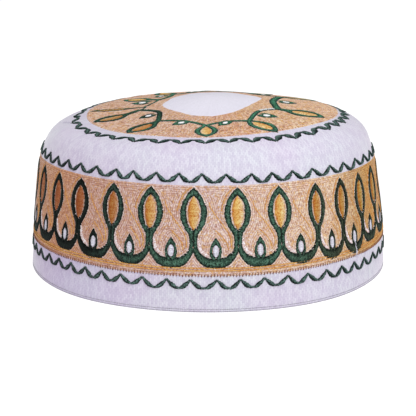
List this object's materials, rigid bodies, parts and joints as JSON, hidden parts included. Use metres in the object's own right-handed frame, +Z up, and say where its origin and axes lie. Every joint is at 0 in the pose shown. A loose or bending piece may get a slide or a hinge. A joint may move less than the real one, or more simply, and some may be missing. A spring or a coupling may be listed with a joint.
{
  "type": "kufi",
  "caption": "Round brimless embroidered cap: upright side band with rounded shoulder, gently domed crown, hollow and open below.",
  "frame": {"origin": "centre of the rim, on the surface that the cap stands on", "axes": "+Z up through the crown; -Y towards the front of the picture; +X to the right in the picture"},
  "size_m": [0.186, 0.186, 0.0857],
  "materials": {
    "side_band_cotton": "matt white cotton, embroidered",
    "crown_cotton": "matt white cotton, embroidered"
  },
  "bodies": {
    "root": {"side_band": "side_band_cotton", "crown": "crown_cotton"}
  },
  "joints": []
}
